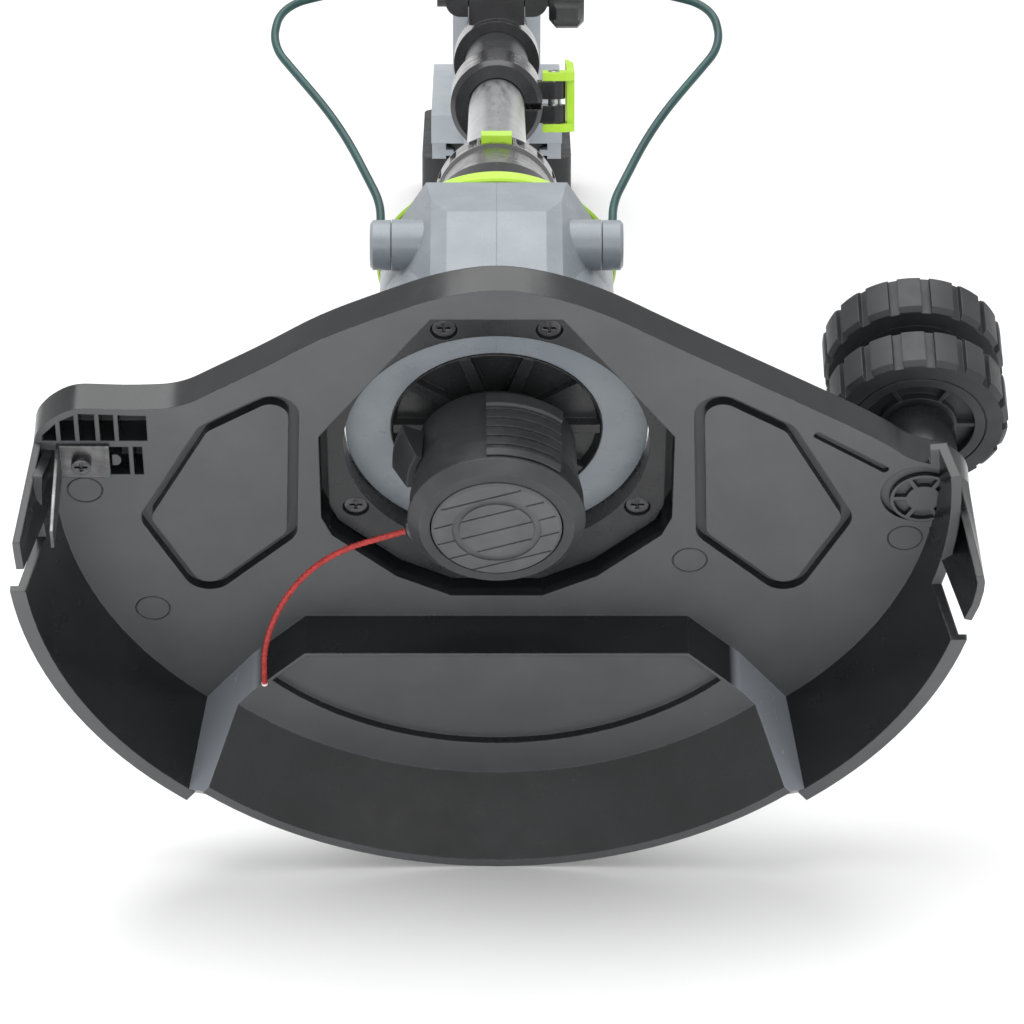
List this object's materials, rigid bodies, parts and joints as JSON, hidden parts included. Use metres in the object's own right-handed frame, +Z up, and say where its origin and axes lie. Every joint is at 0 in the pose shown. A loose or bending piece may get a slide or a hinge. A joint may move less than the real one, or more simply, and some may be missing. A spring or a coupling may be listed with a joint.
{
  "type": "cordless string trimmer",
  "caption": "Cordless grass trimmer and edger: round debris guard, line head with cutter, edging wheels, folding edge guide, telescopic shaft, two handles and a slide-on battery.",
  "frame": {"origin": "centre of the trimmer's footprint, on the floor it lies on", "axes": "+Y from the cutting head along the shaft to the battery, +X to the edging wheels, +Z up from the floor"},
  "size_m": [0.3434, 1.0914, 0.2995],
  "materials": {
    "guard_black": "moulded polypropylene: fine matte texture on the flats, smooth gloss on the walls",
    "frame_black": "fine moulded texture",
    "screw_steel": "zinc plated, cross recess",
    "blade_steel": "stamped and ground",
    "housing_silver": "silver-grey moulded nylon, satin",
    "accent_lime": "lime moulded plastic",
    "motor_steel": "plated steel",
    "magnet_dark": "ferrite",
    "bearing_steel": "ground steel",
    "spool_black": "satin moulded nylon with scuffs",
    "eyelet_metal": "turned",
    "knob_black": "worn moulded nylon",
    "line_red": "twisted nylon monofilament",
    "spring_steel": "spring wire",
    "wheel_charcoal": "charcoal moulded tread",
    "wire_green": "dark green dipped coating on spring wire",
    "neck_black": "glossy black",
    "tube_silver": "satin anodised",
    "tube_dark": "powder coated",
    "grip_rubber": "soft overmould",
    "handle_silver": "silver-grey moulded nylon",
    "battery_black": "moulded case",
    "cell_steel": "wrapped cells",
    "board_green": "circuit board"
  },
  "bodies": {
    "head": {"guard": "guard_black", "clamp_ring": "frame_black", "guard_screws": "screw_steel", "line_cutter": "blade_steel", "motor_housing_left": "housing_silver", "motor_housing_right": "housing_silver", "seam_screws": "screw_steel", "accent_ring": "accent_lime", "motor_mount": "frame_black", "motor_can": "motor_steel", "motor_magnets": "magnet_dark", "motor_end_bell": "frame_black", "spindle_bearings": "bearing_steel", "wheel_post": "guard_black", "wheel_axle": "bearing_steel", "wheel_spacer": "guard_black", "axle_cap": "guard_black", "neck_left": "neck_black", "neck_right": "neck_black"},
    "line_head": {"armature": "motor_steel", "motor_spindle": "bearing_steel", "spool_housing": "spool_black", "line_eyelet": "eyelet_metal", "spool_cap": "spool_black", "cap_latches": "spool_black", "trim_line": "line_red"},
    "reel": {"bump_knob": "knob_black", "spool_reel": "spool_black", "wound_line": "line_red", "bump_spring": "spring_steel"},
    "near_wheel": {"wheel_near": "wheel_charcoal"},
    "far_wheel": {"wheel_far": "wheel_charcoal"},
    "edge_guide": {"edge_guide_wire": "wire_green", "guide_pivots": "housing_silver"},
    "lower_shaft": {"swivel_collar": "neck_black", "lower_tube": "tube_silver"},
    "swivel_lock": {"swivel_button": "accent_lime"},
    "upper_shaft": {"upper_tube": "tube_dark", "tube_bush": "frame_black", "telescope_clamp": "neck_black", "clamp_pin": "bearing_steel", "aux_clamp": "neck_black", "rear_handle_left": "handle_silver", "rear_handle_right": "handle_silver", "handle_screws": "screw_steel", "trigger_pin": "bearing_steel", "trigger_spring": "spring_steel", "micro_switch": "frame_black", "control_board": "board_green", "terminal_block": "frame_black"},
    "tube_lever": {"clamp_lever": "accent_lime"},
    "front_handle": {"aux_handle": "neck_black", "aux_grip": "grip_rubber"},
    "handle_knob": {"aux_knob": "frame_black"},
    "trigger": {"trigger": "accent_lime"},
    "lock_off": {"lock_button": "frame_black"},
    "battery": {"battery_case_lower": "battery_black", "battery_case_upper": "battery_black", "battery_cells": "cell_steel"},
    "battery_release": {"battery_latch": "accent_lime"}
  },
  "joints": [
    {"name": "line_head_spin", "type": "hinge", "parent": "head", "child": "line_head", "pos_m": [-0.00646, -0.50421, 0.16559], "axis": [0, 0.8746, 0.4848], "continuous": true},
    {"name": "bump_feed", "type": "slide", "parent": "line_head", "child": "reel", "axis": [0, 0.8746, 0.4848], "range_m": [0, 0.004], "stiffness_N_per_m": 900, "springref_m": -0.004, "deforming": ["bump_spring"]},
    {"name": "near_wheel_turn", "type": "hinge", "parent": "head", "child": "near_wheel", "pos_m": [0.14024, -0.45666, 0.16851], "axis": [0, 0.8746, 0.4848], "continuous": true},
    {"name": "far_wheel_turn", "type": "hinge", "parent": "head", "child": "far_wheel", "pos_m": [0.14024, -0.43348, 0.18136], "axis": [0, 0.8746, 0.4848], "continuous": true},
    {"name": "edge_guide_fold", "type": "hinge", "parent": "head", "child": "edge_guide", "pos_m": [-0.00646, -0.45762, 0.228], "axis": [1, 0, 0], "range_deg": [0, 95]},
    {"name": "head_swivel", "type": "hinge", "parent": "head", "child": "lower_shaft", "pos_m": [-0.00646, -0.34272, 0.21209], "axis": [0, 0.9925, -0.1219], "range_deg": [0, 180]},
    {"name": "swivel_release", "type": "slide", "parent": "lower_shaft", "child": "swivel_lock", "axis": [0, -0.1219, -0.9925], "range_m": [0, 0.002], "stiffness_N_per_m": 900, "springref_m": -0.002},
    {"name": "tube_length", "type": "slide", "parent": "lower_shaft", "child": "upper_shaft", "axis": [0, 0.9925, -0.1219], "range_m": [0, 0.16]},
    {"name": "lever_open", "type": "hinge", "parent": "upper_shaft", "child": "tube_lever", "pos_m": [0.01854, 0.01062, 0.16871], "axis": [0, -0.1219, -0.9925], "range_deg": [0, 88]},
    {"name": "front_handle_tilt", "type": "hinge", "parent": "upper_shaft", "child": "front_handle", "pos_m": [-0.00646, 0.19269, 0.17456], "axis": [1, 0, 0], "range_deg": [-40, 60]},
    {"name": "knob_turn", "type": "hinge", "parent": "front_handle", "child": "handle_knob", "pos_m": [-0.00646, 0.19269, 0.17456], "axis": [1, 0, 0], "continuous": true},
    {"name": "trigger_pull", "type": "hinge", "parent": "upper_shaft", "child": "trigger", "pos_m": [-0.00646, 0.43679, 0.1234], "axis": [1, 0, 0], "range_deg": [0, 6.5], "stiffness_Nm_per_rad": 0.4, "springref_deg": -8.59, "deforming": ["trigger_spring"]},
    {"name": "lock_off_press", "type": "slide", "parent": "upper_shaft", "child": "lock_off", "axis": [0, 0, -1], "range_m": [0, 0.003], "stiffness_N_per_m": 700, "springref_m": -0.002},
    {"name": "battery_slide", "type": "slide", "parent": "upper_shaft", "child": "battery", "axis": [0, 1, 0], "range_m": [0, 0.115]},
    {"name": "battery_release_press", "type": "slide", "parent": "battery", "child": "battery_release", "axis": [0, -1, 0], "range_m": [0, 0.0025], "stiffness_N_per_m": 700, "springref_m": -0.002}
  ]
}
